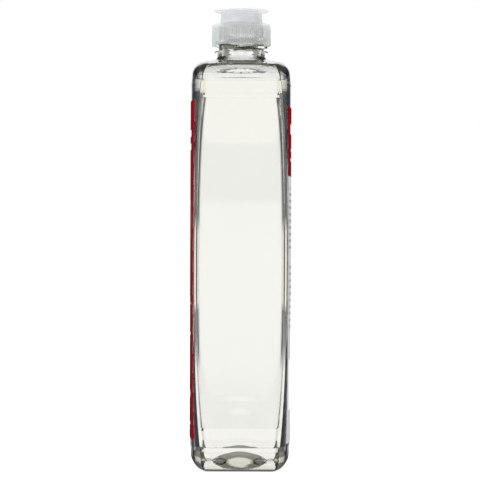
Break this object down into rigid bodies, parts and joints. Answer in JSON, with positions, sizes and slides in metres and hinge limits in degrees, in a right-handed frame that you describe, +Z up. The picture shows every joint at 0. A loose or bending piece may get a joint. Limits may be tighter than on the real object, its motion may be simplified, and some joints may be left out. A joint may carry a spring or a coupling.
{
  "type": "dish soap bottle",
  "caption": "Clear waisted dish soap bottle with crowned label panels, filled, under a translucent fluted screw cap with a push-pull tip",
  "frame": {"origin": "on the table, at the middle of the bottle's foot", "axes": "+Z up along the bottle's axis, the front label faces -Y, the width runs along X"},
  "size_m": [0.086, 0.0528, 0.2378],
  "materials": {
    "clear_pet": "clear blown polyester, glossy",
    "soap": "clear liquid with a faint warm tint",
    "front_film": "printed film, satin",
    "back_film": "printed film, satin",
    "natural_polypropylene": "uncoloured translucent moulding",
    "natural_polyethylene": "uncoloured translucent moulding, milkier than the cap"
  },
  "bodies": {
    "bottle_body": {"bottle": "clear_pet", "soap": "soap", "front_label": "front_film", "back_label": "back_film"},
    "cap_body": {"screw_cap": "natural_polypropylene"},
    "tip_body": {"pull_tip": "natural_polyethylene"}
  },
  "joints": [
    {"name": "cap_turn", "type": "hinge", "parent": "bottle_body", "child": "cap_body", "pos_m": [0, 0, 0.2293], "axis": [0, 0, 1], "range_deg": [0, 450]},
    {"name": "tip_pull", "type": "slide", "parent": "cap_body", "child": "tip_body", "axis": [0, 0, 1], "range_m": [0, 0.0037]}
  ]
}
